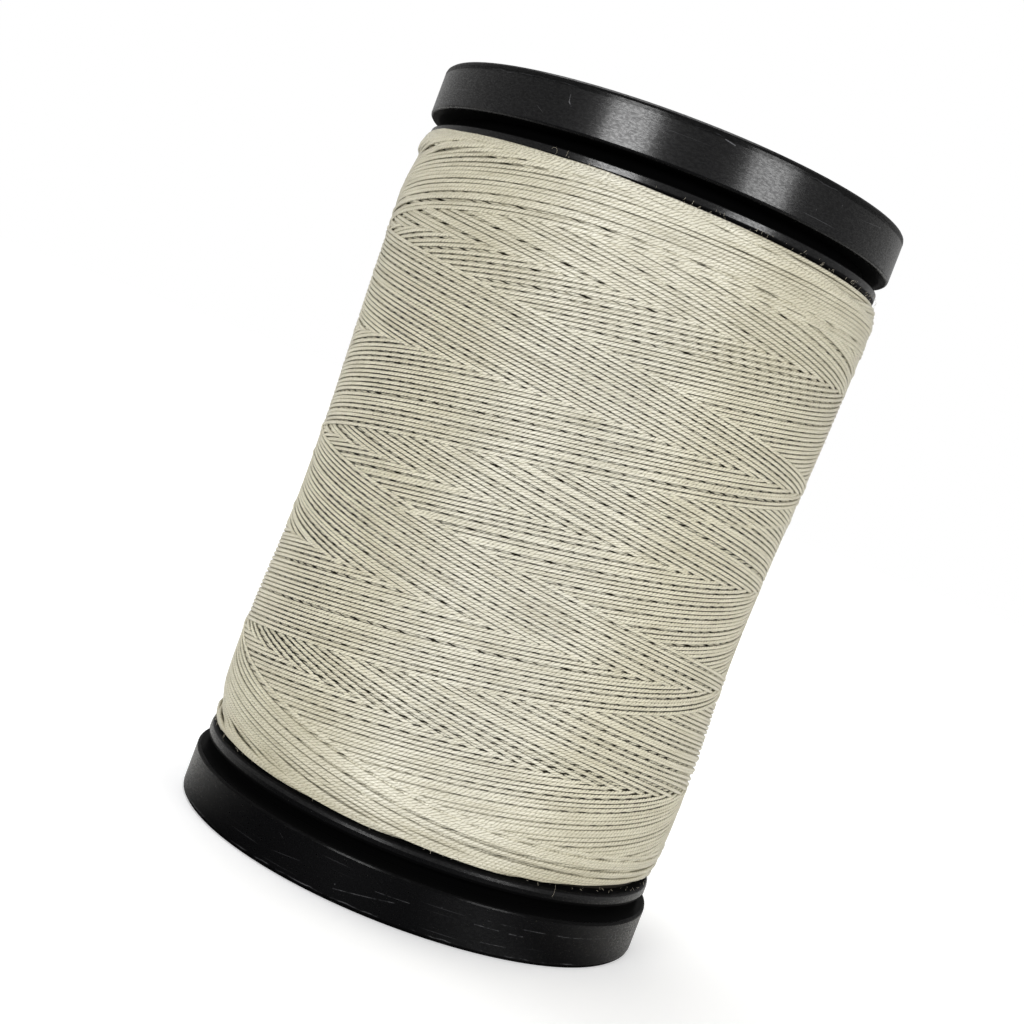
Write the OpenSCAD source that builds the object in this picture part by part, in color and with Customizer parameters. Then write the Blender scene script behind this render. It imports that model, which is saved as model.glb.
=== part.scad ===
// Waxed thread spool with two snap caps.
//
// A moulded barrel carries the wound thread between two thin flanges. A snap cap closes each end of
// the barrel and slides out by a short travel, so that the tail of the thread can be laid in the
// groove between cap and flange and pinched there. A spindle passes through the hubs of both caps.
//
// The spool stands on its lower cap: +Z runs along its axis, and the origin is the centre of its base.
// All sizes are in millimetres.

/* [Snap caps] */
// Diameter of the rim, the widest ring of each cap
rim_d = 43.5; // [40:0.5:60]
// Height of the rim
rim_h = 4.2; // [3.8:0.1:8]
// Bevel round the rim's outer end
rim_bevel = 0.4; // [0.1:0.1:0.8]
// Bevel round the rim's edge at the groove
groove_bevel = 0.25; // [0.1:0.05:0.6]
// Width of the flat ring that the spool stands on
ring_w = 2; // [1.4:0.1:3]
// Depth of the recessed end face inside that ring
face_recess = 1; // [0.4:0.1:1.4]
// Thickness of the end face
face_t = 1.6; // [1:0.1:2]
// Distance from the closed cap's seat to its flange
seat_gap = 0.05; // [0.02:0.01:0.15]
// Wall of the seat ring, which pinches the thread tail
seat_wall = 1.6; // [1:0.1:3]
// Number of ribs behind the end face
rib_count = 8; // [4:1:12]
// Thickness of each rib
rib_t = 1; // [0.6:0.1:2]
// Height by which the ribs stay clear of the flange
rib_clearance = 0.6; // [0.3:0.1:1.2]

/* [Groove for the thread tail] */
// Width of the groove between rim and flange
groove_w = 1.2; // [0.8:0.1:2.5]
// Depth of the groove, from the rim inwards
groove_depth = 2.35; // [1:0.05:4]

/* [Spindle hub] */
// Diameter of the bore for the spindle
spindle_bore_d = 8.5; // [6:0.5:10]
// Wall of the hub round that bore
hub_wall = 1.6; // [1:0.1:2.5]
// Length of the hub
hub_len = 9; // [6:0.5:14]
// Distance by which the hub lies below the rim's end
hub_inset = 0.3; // [0.1:0.1:1]
// Bevel at the mouth of the bore
hub_bevel = 0.4; // [0.2:0.1:0.8]
// Number of ribs between hub and sleeve
hub_rib_count = 4; // [2:1:6]
// Depth to which those ribs reach below the seat
hub_rib_depth = 1.2; // [0.6:0.1:1.8]

/* [Snap sleeve] */
// Running clearance between sleeve and barrel, on the radius
slide_clearance = 0.06; // [0.03:0.01:0.1]
// Wall of the sleeve
sleeve_wall = 1.2; // [0.9:0.1:1.8]
// Length of the sleeve below the seat
sleeve_len = 9; // [8.6:0.2:14]
// Bevel at the sleeve's tip
sleeve_bevel = 0.4; // [0.2:0.1:0.7]
// Travel of the cap from closed to open
cap_travel = 2; // [0.5:0.25:2.5]
// Number of snap fingers
finger_count = 4; // [2:1:5]
// Width of each finger
finger_w = 8; // [6.4:0.2:9]
// Width of the slot on each side of a finger
slot_w = 1; // [0.5:0.1:1.4]
// Length of those slots
slot_len = 7; // [5:0.2:8]
// Height of the lug on each finger
lug_h = 0.45; // [0.3:0.05:0.7]
// Width of the lug
lug_w = 4.6; // [3:0.2:5.4]
// Length of the lug along the axis
lug_len = 1.6; // [1.2:0.1:2.2]
// Distance from the seat to the lug's catching face
lug_depth = 5.8; // [5:0.1:6.4]
// Clearance round a lug in its pocket
lug_clearance = 0.12; // [0.08:0.02:0.3]

/* [Barrel] */
// Diameter of the barrel under the thread
barrel_d = 26; // [24:0.5:30]
// Wall of the barrel
barrel_wall = 2; // [1.6:0.1:2.6]
// Thickness of each flange
flange_t = 1.2; // [0.9:0.1:2]
// Distance by which a flange stays inside the rim, on the radius
flange_inset = 0.55; // [0.2:0.05:1.2]
// Rounding of the flange's edge next to the thread
flange_round = 0.6; // [0.3:0.05:0.7]
// Rounding of the flange's edge next to the groove
flange_groove_round = 0.15; // [0.1:0.05:0.2]
// Bevel at the barrel's mouth
mouth_bevel = 0.5; // [0.2:0.1:0.8]

/* [Thread] */
// Diameter of the waxed thread
thread_d = 0.4; // [0.3:0.05:0.8]
// Length of the winding, from flange to flange
winding_len = 54.8; // [44:0.2:90]
// Clearance between the winding and the plastic
winding_clearance = 0.05; // [0.03:0.01:0.1]
// Depth of the winding's waist inside the flanges' edge
waist_inset = 0.1; // [0:0.05:1]
// Distance of the waist from the lower flange
waist_at = 22; // [16:0.5:30]
// Height of the lower crown outside the flanges' edge
lower_crown = 0.35; // [0:0.05:0.8]
// Distance of the lower crown from the lower flange
lower_crown_at = 9; // [5:0.5:12]
// Height of the upper crown outside the flanges' edge
upper_crown = 0.75; // [0:0.05:1]
// Distance of the upper crown from the upper flange
upper_crown_at = 2.4; // [2:0.1:10]
// Depth of the winding's lower corner inside the flanges' edge
lower_corner_inset = 0.2; // [0:0.05:1.2]
// Height of the winding's upper corner outside the flanges' edge
upper_corner = 0.4; // [0:0.05:0.7]
// Number of turns in the outer layer
turns = 24; // [12:1:24]
// Distance of the first and last turn from the flanges
turn_margin = 1; // [0.6:0.1:3]
// Least clearance between the outer turns and the packed thread
turn_clearance = 0.07; // [0.05:0.01:0.2]

/* [Hidden] */
$fn = 96;

// Overshoot of cuts and overlap of joined solids.
cut = 0.1;

// Colours.
black_plastic = [0.10, 0.10, 0.11];
ecru_thread = [0.78, 0.76, 0.69];
packed_thread = [0.62, 0.59, 0.52];

// Radii.
rim_r = rim_d / 2;
flange_r = rim_r - flange_inset;
seat_r = rim_r - groove_depth;
barrel_r = barrel_d / 2;
barrel_bore_r = barrel_r - barrel_wall;
sleeve_r = barrel_bore_r - slide_clearance;
sleeve_bore_r = sleeve_r - sleeve_wall;
hub_bore_r = spindle_bore_d / 2;
hub_r = hub_bore_r + hub_wall;
pocket_r = sleeve_r + lug_h + lug_clearance;

// Heights in a cap's own frame: its seat is at zero and its end face points up.
step_h = groove_w - seat_gap;
cap_h = step_h + rim_h;
face_top = cap_h - face_recess;
face_under = face_top - face_t;
hub_top = cap_h - hub_inset;
hub_under = hub_top - hub_len;
lug_top = -lug_depth;
lug_under = lug_top - lug_len;

// Heights on the standing spool.
body_z0 = rim_h + groove_w;
winding_z0 = body_z0 + flange_t;
winding_z1 = winding_z0 + winding_len;
body_z1 = winding_z1 + flange_t;

// Outer layer of thread: one tube of six sides, swept along rings.
tube_sides = 6;
rings_per_turn = 24;
ring_count = turns * rings_per_turn;
thread_r = thread_d / 2;
chord_sag = (flange_r + upper_crown) * (1 - cos(180 / rings_per_turn));
layer_depth = thread_d + chord_sag + turn_clearance;
start_angle = 90;

// Points of a quarter or other arc, in the plane of a profile.
function arc(centre, radius, from, to, steps = 4) =
    [for (i = [0 : steps]) centre + radius * [cos(from + (to - from) * i / steps),
                                              sin(from + (to - from) * i / steps)]];

// Smooth passage from a to b as t runs from 0 to 1: level at both ends, or only at b.
function blend(a, b, t) = a + (b - a) * (1 - cos(180 * t)) / 2;
function settle(a, b, t) = a + (b - a) * (1 - pow(1 - t, 3));

// Outer radius of the winding at the height s above the lower flange.
function winding_r(s) = flange_r + (
    s < lower_crown_at ? settle(-lower_corner_inset, lower_crown, s / lower_crown_at)
    : s < waist_at ? blend(lower_crown, -waist_inset, (s - lower_crown_at) / (waist_at - lower_crown_at))
    : s < winding_len - upper_crown_at
        ? blend(-waist_inset, upper_crown, (s - waist_at) / (winding_len - upper_crown_at - waist_at))
    : settle(upper_corner, upper_crown, (winding_len - s) / upper_crown_at));

// Centre of the outer layer's tube at ring i, as angle, radius and height.
function turn_angle(i) = start_angle + 360 * i / rings_per_turn;
function turn_s(i) = turn_margin + (winding_len - 2 * turn_margin) * i / ring_count;
function turn_r(i) = winding_r(turn_s(i)) - thread_r;

// One ring of the tube. lean turns the ring from the radial direction towards the direction of travel.
function ring(angle, radius, s, radial, lean) =
    [for (k = [0 : tube_sides - 1])
        let (a = 360 * k / tube_sides,
             across = radius + thread_r * cos(a) * radial,
             along = thread_r * cos(a) * lean)
        [across * cos(angle) - along * sin(angle),
         across * sin(angle) + along * cos(angle),
         winding_z0 + s + thread_r * sin(a)]];

// The tube's rings, from its inner end on the packed thread, round all turns, to its other inner end.
end_drop = layer_depth - thread_r - winding_clearance;
tube_rings = concat(
    [ring(turn_angle(0), turn_r(0) - end_drop, turn_s(0), 0, -1)],
    [ring(turn_angle(0), turn_r(0), turn_s(0), 1, -1)],
    [for (i = [1 : ring_count - 1]) ring(turn_angle(i), turn_r(i), turn_s(i), 1, 0)],
    [ring(turn_angle(ring_count), turn_r(ring_count), turn_s(ring_count), 1, 1)],
    [ring(turn_angle(ring_count), turn_r(ring_count) - end_drop, turn_s(ring_count), 0, 1)]);

// Least gap between the tube and itself, measured between the centres of rings on different turns.
function turn_point(i) = [turn_r(i) * cos(turn_angle(i)), turn_r(i) * sin(turn_angle(i)), turn_s(i)];
turn_points = [for (i = [0 : ring_count]) turn_point(i)];
least_gap = min([for (i = [0 : ring_count - rings_per_turn / 2])
    min([for (j = [i + rings_per_turn / 2 : min(ring_count, i + 2 * rings_per_turn)])
        norm(turn_points[i] - turn_points[j])])]) - thread_d;
echo(str("outer layer: least gap of the thread to itself ", least_gap, " mm"));

// Repeats its children in a circle about the axis.
module around(count, first = 0) {
    for (i = [0 : count - 1])
        rotate([0, 0, first + 360 * i / count])
            children();
}

// Puts what is drawn in a cap's own frame at the upper or the lower end of the spool.
module at_upper_end() {
    translate([0, 0, body_z1 + seat_gap])
        children();
}

module at_lower_end() {
    translate([0, 0, body_z0 - seat_gap])
        mirror([0, 0, 1])
            children();
}

// A block of the given angle between two radii and two heights.
module sector(angle, r0, r1, z0, z1) {
    rotate([0, 0, -angle / 2])
        rotate_extrude(angle = angle)
            translate([r0, z0])
                square([r1 - r0, z1 - z0]);
}

// Turned shape of a cap: hub, end face, sleeve, seat ring and rim.
module cap_blank() {
    rotate_extrude()
        polygon(concat(
            [[hub_bore_r, hub_under],
             [hub_r, hub_under],
             [hub_r, face_under],
             [sleeve_bore_r, face_under],
             [sleeve_bore_r, -sleeve_len],
             [sleeve_r - sleeve_bevel, -sleeve_len],
             [sleeve_r, sleeve_bevel - sleeve_len],
             [sleeve_r, face_under],
             [seat_r - seat_wall, face_under],
             [seat_r - seat_wall, 0],
             [seat_r, 0],
             [seat_r, step_h]],
            arc([rim_r - groove_bevel, step_h + groove_bevel], groove_bevel, -90, 0, 3),
            arc([rim_r - rim_bevel, cap_h - rim_bevel], rim_bevel, 0, 90, 3),
            [[rim_r - ring_w, cap_h],
             [rim_r - ring_w, face_top],
             [hub_r, face_top],
             [hub_r, hub_top],
             [hub_bore_r + hub_bevel, hub_top],
             [hub_bore_r, hub_top - hub_bevel]]));
}

// A rib behind the end face, from the sleeve to the seat ring.
module face_rib() {
    translate([sleeve_r - sleeve_wall / 2, -rib_t / 2, rib_clearance])
        cube([seat_r - seat_wall / 2 - sleeve_r + sleeve_wall / 2, rib_t, face_under + cut - rib_clearance]);
}

// A rib from the hub to the sleeve, above the fingers' slots.
module hub_rib() {
    translate([hub_r - hub_wall / 2, -rib_t / 2, -hub_rib_depth])
        cube([sleeve_bore_r + sleeve_wall / 2 - hub_r + hub_wall / 2, rib_t, face_under + cut + hub_rib_depth]);
}

// The two slots that free one finger of the sleeve.
module finger_slots() {
    for (side = [-1, 1])
        translate([sleeve_bore_r - sleeve_wall, side * (finger_w + slot_w) / 2 - slot_w / 2, -sleeve_len - cut])
            cube([2.5 * sleeve_wall, slot_w, slot_len + cut]);
}

// The lug on one finger, sloped where it enters the barrel.
module lug() {
    angle = lug_w / sleeve_r * 180 / PI;
    rotate([0, 0, -angle / 2])
        rotate_extrude(angle = angle)
            polygon([[sleeve_r - sleeve_wall / 2, lug_under],
                     [sleeve_r, lug_under],
                     [sleeve_r + lug_h, lug_under + lug_h],
                     [sleeve_r + lug_h, lug_top],
                     [sleeve_r - sleeve_wall / 2, lug_top]]);
}

// The pocket in the barrel's wall in which a lug travels.
module lug_pocket() {
    angle = (lug_w + 2 * lug_clearance) / sleeve_r * 180 / PI;
    sector(angle, barrel_bore_r - cut, pocket_r, lug_under - lug_clearance, lug_top + cap_travel + lug_clearance);
}

module snap_cap() {
    difference() {
        union() {
            cap_blank();
            around(rib_count, 180 / rib_count)
                face_rib();
            around(hub_rib_count, 180 / hub_rib_count)
                hub_rib();
            around(finger_count)
                lug();
        }
        around(finger_count)
            finger_slots();
    }
}

// Edge of a flange's profile, from its lower face to its upper one, each with its own rounding.
function flange_edge(z_low, z_high, round_low, round_high) = concat(
    arc([flange_r - round_low, z_low + round_low], round_low, -90, 0),
    arc([flange_r - round_high, z_high - round_high], round_high, 0, 90));

module barrel_blank() {
    rotate_extrude()
        polygon(concat(
            [[barrel_bore_r + mouth_bevel, body_z0]],
            flange_edge(body_z0, winding_z0, flange_groove_round, flange_round),
            [[barrel_r, winding_z0],
             [barrel_r, winding_z1]],
            flange_edge(winding_z1, body_z1, flange_round, flange_groove_round),
            [[barrel_bore_r + mouth_bevel, body_z1],
             [barrel_bore_r, body_z1 - mouth_bevel],
             [barrel_bore_r, body_z0 + mouth_bevel]]));
}

module spool_body() {
    color(black_plastic)
        difference() {
            barrel_blank();
            at_upper_end()
                around(finger_count)
                    lug_pocket();
            at_lower_end()
                around(finger_count)
                    lug_pocket();
        }
}

module top_snap_cap() {
    color(black_plastic)
        at_upper_end()
            snap_cap();
}

module bottom_snap_cap() {
    color(black_plastic)
        at_lower_end()
            snap_cap();
}

// Packed thread under the outer layer, with the winding's bulges and waist.
module thread_pack() {
    steps = 40;
    height = winding_len - 2 * winding_clearance;
    heights = [for (i = [0 : steps]) winding_clearance + height * i / steps];
    color(packed_thread)
        rotate_extrude()
            polygon(concat(
                [[barrel_r + winding_clearance, winding_z0 + winding_clearance]],
                [for (s = heights) [winding_r(s) - layer_depth, winding_z0 + s]],
                [[barrel_r + winding_clearance, winding_z1 - winding_clearance]]));
}

// Outer layer of turns, one unbroken thread.
module thread_outer_layer() {
    last = len(tube_rings) - 1;
    sides = [for (i = [0 : last - 1], k = [0 : tube_sides - 1])
        let (a = i * tube_sides + k,
             b = i * tube_sides + (k + 1) % tube_sides)
        each [[a, b, b + tube_sides], [a, b + tube_sides, a + tube_sides]]];
    first_end = [for (k = [1 : tube_sides - 2]) [0, k + 1, k]];
    last_end = [for (k = [1 : tube_sides - 2]) [0, k, k + 1] + last * tube_sides * [1, 1, 1]];
    color(ecru_thread)
        polyhedron(points = [for (r = tube_rings) each r], faces = concat(sides, first_end, last_end));
}

spool_body();
top_snap_cap();
bottom_snap_cap();
thread_pack();
thread_outer_layer();
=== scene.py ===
"""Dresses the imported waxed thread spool: moulded plastic, cross-wound thread, lint and a plain studio."""

import math

import bmesh
import bpy
import numpy as np
from bpy.props import FloatProperty, FloatVectorProperty, IntProperty, PointerProperty
from mathutils import Matrix, Vector


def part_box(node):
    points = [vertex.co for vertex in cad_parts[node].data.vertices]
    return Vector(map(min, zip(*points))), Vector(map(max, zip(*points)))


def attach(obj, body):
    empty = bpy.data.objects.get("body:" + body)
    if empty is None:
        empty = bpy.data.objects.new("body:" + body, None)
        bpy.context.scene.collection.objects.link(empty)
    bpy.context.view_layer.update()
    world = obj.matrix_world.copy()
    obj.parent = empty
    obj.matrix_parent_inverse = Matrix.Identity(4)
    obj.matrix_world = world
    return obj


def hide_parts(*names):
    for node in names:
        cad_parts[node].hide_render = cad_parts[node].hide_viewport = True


bl_info = {
    "name": "Waxed Thread Spool",
    "version": (1, 0, 0),
    "blender": (4, 5, 0),
    "location": "View3D > Sidebar > Spool",
    "description": "Dresses the packed thread spool with plastic, wound thread, lint and a studio",
    "category": "Object",
}

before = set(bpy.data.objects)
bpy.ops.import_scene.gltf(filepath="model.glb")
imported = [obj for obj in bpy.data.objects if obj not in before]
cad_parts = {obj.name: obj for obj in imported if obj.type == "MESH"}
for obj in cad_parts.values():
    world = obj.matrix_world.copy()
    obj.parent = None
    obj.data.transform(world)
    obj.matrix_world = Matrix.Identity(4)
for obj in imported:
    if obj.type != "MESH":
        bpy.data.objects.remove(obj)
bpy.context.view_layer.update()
MM = 0.001

# Radii of flanges and rims, and the winding's room between flanges, in millimetres, from the frame.
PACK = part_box("thread_pack")
FLANGE_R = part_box("spool_body")[1].x / MM
RIM_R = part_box("top_snap_cap")[1].x / MM
PACK_CLEARANCE = 0.05
WINDING_Z0 = PACK[0].z / MM - PACK_CLEARANCE
WINDING_Z1 = PACK[1].z / MM + PACK_CLEARANCE


class SPOOL_PG_plastic(bpy.types.PropertyGroup):
    """Moulded black plastic of the barrel and the two snap caps"""

    colour: FloatVectorProperty(
        name="Colour", description="Colour of the moulded plastic",
        subtype="COLOR", default=(0.0018, 0.0018, 0.0022),
    )
    # Also the colour of the light edge lines, which are partly painted highlights.
    dust_and_highlight_colour: FloatVectorProperty(
        name="Dust", description="Colour of dust and scuffs on the plastic",
        subtype="COLOR", default=(0.20, 0.20, 0.21),
    )
    haze_level: FloatProperty(
        name="Haze", description="Strength of the wide, dull part of the reflection",
        default=0.07, min=0.0, max=1.0,
    )
    gloss_ior: FloatProperty(
        name="Gloss IOR", description="Refractive index of the smooth skin", default=1.40, min=1.0, max=2.0
    )
    grain: FloatProperty(
        name="Grain", description="Size of the satin grain", default=0.00016, subtype="DISTANCE"
    )


class SPOOL_PG_thread(bpy.types.PropertyGroup):
    """Waxed thread and the way it is wound"""

    width: FloatProperty(
        name="Width", description="Width of the thread as it lies", default=0.00034, subtype="DISTANCE"
    )
    height: FloatProperty(
        name="Height", description="Height of the thread as it lies", default=0.00033, subtype="DISTANCE"
    )
    pitch: FloatProperty(
        name="Pitch", description="Climb of the thread in one turn", default=0.0186, subtype="DISTANCE"
    )
    strokes: IntProperty(
        name="Strokes", description="Up and down strokes that fill the surface once",
        default=48, min=12, max=96,
    )
    turns: IntProperty(
        name="Turns", description="Whole turns in one up and down stroke", default=6, min=2, max=12
    )
    crossing_angle: FloatProperty(
        name="Crossing angle", description="Angle from the front at which the newest strands cross",
        default=math.radians(-80), subtype="ANGLE",
    )
    crossing_height: FloatProperty(
        name="Crossing height", description="Height at which the newest strands cross",
        default=0.0348, subtype="DISTANCE",
    )
    ply_pitch: FloatProperty(
        name="Ply pitch", description="Length of one twisted bead", default=0.00042, subtype="DISTANCE"
    )
    nesting: FloatProperty(
        name="Nesting", description="How far a strand presses into the ones under it",
        default=0.00011, subtype="DISTANCE",
    )
    wander: FloatProperty(
        name="Wander", description="How far strands stray from even spacing",
        default=0.00003, subtype="DISTANCE",
    )
    colour: FloatVectorProperty(
        name="Colour", description="Colour of the waxed thread", subtype="COLOR", default=(0.885, 0.856, 0.72)
    )
    # Painted shade in the creases between plies; also the tone of the darker patches.
    crease_shade_colour: FloatVectorProperty(
        name="Creases", description="Colour between the plies", subtype="COLOR", default=(0.32, 0.28, 0.155)
    )
    # Painted shade, for the thread seen deep in the gaps and for the packed thread.
    deep_shade_colour: FloatVectorProperty(
        name="Depth", description="Colour of the thread under the surface",
        subtype="COLOR", default=(0.028, 0.022, 0.008),
    )


class SPOOL_PG_fibres(bpy.types.PropertyGroup):
    """Stray fibres that stand off the thread"""

    upper: IntProperty(
        name="Upper edge", description="Fibres along the winding's upper edge", default=260, min=0, max=600
    )
    lower: IntProperty(
        name="Lower edge", description="Fibres along the winding's lower edge", default=170, min=0, max=600
    )
    face: IntProperty(name="Face", description="Fibres all over the winding", default=160, min=0, max=600)
    thickness: FloatProperty(
        name="Thickness", description="Thickness of a fibre", default=0.000034, subtype="DISTANCE"
    )
    colour: FloatVectorProperty(
        name="Colour", description="Colour of the fibres", subtype="COLOR", default=(0.40, 0.36, 0.28)
    )
    light_colour: FloatVectorProperty(
        name="Light fibres", description="Colour of the few long ones",
        subtype="COLOR", default=(0.86, 0.84, 0.76),
    )


class SPOOL_PG_studio(bpy.types.PropertyGroup):
    """Camera, floor and lamps"""

    lens: FloatProperty(
        name="Lens", description="Focal length in millimetres", default=59.77, min=10, max=200
    )
    stand: FloatVectorProperty(
        name="Camera", description="Place of the camera",
        subtype="XYZ", unit="LENGTH", default=(0.0, -0.1548, 0.042),
    )
    tilt: FloatProperty(
        name="Tilt", description="How far the camera looks down", default=0.0569, subtype="ANGLE"
    )
    turn: FloatProperty(
        name="Turn", description="How far the camera looks aside", default=-0.0151, subtype="ANGLE"
    )
    roll: FloatProperty(
        name="Roll", description="How far the camera is rolled to the left",
        default=math.radians(20.8), subtype="ANGLE",
    )
    floor_size: FloatProperty(
        name="Floor", description="Side of the floor", default=6.0, subtype="DISTANCE"
    )
    ambient: FloatProperty(
        name="Ambient", description="Strength of the room's soft light", default=0.17, min=0, max=2
    )
    floor_fill: FloatProperty(
        name="Floor fill", description="Soft light from the floor next to the spool",
        default=0.26, min=0, max=2,
    )
    floor_gloss: FloatProperty(
        name="Floor in gloss", description="How much of the white floor shows in gloss",
        default=0.12, min=0, max=1,
    )
    gloss_share: FloatProperty(
        name="Room in gloss", description="How much of the white room shows in gloss",
        default=0.37, min=0, max=1,
    )


# ---- nodes


def fill_in(tree, node, values):
    """Links or sets a node's inputs: numbers, colours or sockets, by the input's name or number."""
    for name, value in values.items():
        if isinstance(value, bpy.types.NodeSocket):
            tree.links.new(value, node.inputs[name])
        else:
            node.inputs[name].default_value = value


def place(tree, kind, values=None, **settings):
    """Adds a node, with values for its inputs."""
    made = tree.nodes.new("ShaderNode" + kind)
    for name, value in settings.items():
        setattr(made, name, value)
    fill_in(tree, made, values or {})
    return made


def maths(tree, operation, *values, clamp=False):
    """A Math node's result."""
    return place(tree, "Math", dict(enumerate(values)), operation=operation, use_clamp=clamp).outputs[0]


def times(tree, first, *others):
    """The product of all the values."""
    for value in others:
        first = maths(tree, "MULTIPLY", first, value)
    return first


def scaled(tree, value, factor, offset, clamp=False):
    """The value times a factor, plus an offset."""
    return maths(tree, "MULTIPLY_ADD", value, factor, offset, clamp=clamp)


def vector_maths(tree, operation, *values):
    """A Vector Math node's result: a number for lengths, distances and dot products, else a vector."""
    result = "Value" if operation in ("LENGTH", "DISTANCE", "DOT_PRODUCT") else "Vector"
    return place(tree, "VectorMath", dict(enumerate(values)), operation=operation).outputs[result]


def joined(tree, *values):
    """A vector of up to three numbers."""
    return place(tree, "CombineXYZ", dict(enumerate(values))).outputs[0]


def parts(tree, vector):
    """The three numbers of a vector."""
    return place(tree, "SeparateXYZ", {0: vector}).outputs


def mix(tree, factor, a, b):
    """A colour between a and b, each a socket or three numbers."""
    made = place(tree, "Mix", {0: factor}, data_type="RGBA")
    for number, colour in ((6, a), (7, b)):
        linked = isinstance(colour, bpy.types.NodeSocket)
        fill_in(tree, made, {number: colour if linked else (*colour, 1.0)})
    return made.outputs[2]


def ramp(tree, value, low, high, start=0.0, end=1.0):
    """From start below low to end above high, and smooth between them."""
    limits = {"Value": value, "From Min": low, "From Max": high, "To Min": start, "To Max": end}
    return place(tree, "MapRange", limits, interpolation_type="SMOOTHSTEP").outputs["Result"]


def noise(tree, vector, scale, detail=2.0, roughness=0.5):
    """A noise value, from about 0.2 to 0.8."""
    values = {"Vector": vector, "Scale": scale, "Detail": detail, "Roughness": roughness}
    return place(tree, "TexNoise", values).outputs[0]


def new_group(name, inputs, outputs):
    """An empty shader group. An input has its default, or None for a vector. The outputs are numbers."""
    group = bpy.data.node_groups.new(name, "ShaderNodeTree")
    for label, default in inputs.items():
        kind = "NodeSocketVector" if default is None else "NodeSocketFloat"
        socket = group.interface.new_socket(label, in_out="INPUT", socket_type=kind)
        if default is not None:
            socket.default_value = default
    for label in outputs:
        group.interface.new_socket(label, in_out="OUTPUT", socket_type="NodeSocketFloat")
    return group, group.nodes.new("NodeGroupInput").outputs, group.nodes.new("NodeGroupOutput")


def use_group(tree, name, values):
    """Places a group in a material."""
    made = tree.nodes.new("ShaderNodeGroup")
    made.node_tree = bpy.data.node_groups[name]
    fill_in(tree, made, values)
    return made.outputs


def strongest(tree, groups):
    """The highest mask of several groups, given as names and values."""
    found = 0.0
    for name, values in groups:
        found = maths(tree, "MAXIMUM", found, use_group(tree, name, values)["Mask"])
    return found


def satin_grain_group():
    """Fine moulded grain with faint turning marks round the axis."""
    inputs = {"Vector": None, "Grain Scale": 6000.0}
    tree, given, out = new_group("Satin Grain", inputs, ("Height", "Patches", "Gloss"))
    at = given["Vector"]
    fine = noise(tree, at, given["Grain Scale"], 3.0, 0.6)
    turning = noise(tree, vector_maths(tree, "MULTIPLY", at, (120.0, 120.0, 9000.0)), 1.0)
    specks = noise(tree, vector_maths(tree, "MULTIPLY", at, (3200.0, 3200.0, 8500.0)), 1.0, 2.0, 0.6)
    patches = noise(tree, at, 260.0, 3.0)
    gloss = ramp(tree, specks, 0.3, 0.72, 0.45, 1.0)
    fill_in(tree, out, {"Height": scaled(tree, turning, 0.35, fine), "Patches": patches, "Gloss": gloss})


def cylinder_group():
    """Distance round the spool from its front, height and distance from the axis, all in metres."""
    tree, given, out = new_group("Round and Up", {"Vector": None}, ("Around", "Height", "Radius"))
    at = parts(tree, given["Vector"])
    angle = maths(tree, "ARCTAN2", at[0], times(tree, at[1], -1.0))
    radius = vector_maths(tree, "LENGTH", joined(tree, at[0], at[1]))
    fill_in(tree, out, {"Around": times(tree, angle, RIM_R * MM), "Height": at[2], "Radius": radius})


def scratches_group():
    """Thin broken streaks round the axis, and a few that run aslant."""
    inputs = {"Around": 0.0, "Height": 0.0, "Amount": 0.5}
    tree, given, out = new_group("Handling Scratches", inputs, ("Mask",))
    # seed, slant in radians, waves per metre along and across a streak, level above which it shows
    kinds = (
        (1.7, 0.0, 110.0, 11000.0, 0.81),
        (7.3, 0.12, 160.0, 13000.0, 0.85),
        (3.1, -0.5, 420.0, 12000.0, 0.88),
    )
    found = 0.0
    for seed, slant, along, across, level in kinds:
        c, s = math.cos(slant), math.sin(slant)
        u = scaled(tree, given["Height"], s, times(tree, given["Around"], c))
        v = scaled(tree, given["Around"], -s, times(tree, given["Height"], c))
        waves = noise(tree, joined(tree, times(tree, u, along), times(tree, v, across), seed), 1.0, 0.0)
        found = maths(tree, "MAXIMUM", found, ramp(tree, waves, level, level + 0.06))
    fill_in(tree, out, {"Mask": times(tree, found, given["Amount"])})


def broken_line(tree, given, off, solid, broken):
    """A fine line, broken along its way. Solid is the share of its width that is at full strength."""
    inside = ramp(tree, maths(tree, "DIVIDE", off, given["Width"]), solid, 1.0, 1.0, 0.0)
    return times(tree, inside, broken, given["Amount"])


def scratch_line_group():
    """One fine scratch from a start to an end, given as distances round and up."""
    inputs = {"Around": 0.0, "Height": 0.0, "Start": None, "End": None, "Width": 0.00005, "Amount": 0.5}
    tree, given, out = new_group("Scratch Line", inputs, ("Mask",))
    at = joined(tree, given["Around"], given["Height"])
    way = vector_maths(tree, "SUBTRACT", given["End"], given["Start"])
    gone = vector_maths(tree, "SUBTRACT", at, given["Start"])
    square = vector_maths(tree, "DOT_PRODUCT", way, way)
    share = maths(tree, "DIVIDE", vector_maths(tree, "DOT_PRODUCT", gone, way), square, clamp=True)
    nearest = place(tree, "VectorMath", {0: way, "Scale": share}, operation="SCALE").outputs[0]
    off = vector_maths(tree, "DISTANCE", gone, nearest)
    worn = noise(tree, vector_maths(tree, "MULTIPLY", at, (1100.0, 900.0, 1.0)), 1.0, 3.0, 0.7)
    line = broken_line(tree, given, off, 0.4, ramp(tree, worn, 0.36, 0.66))
    fill_in(tree, out, {"Mask": line})


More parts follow.
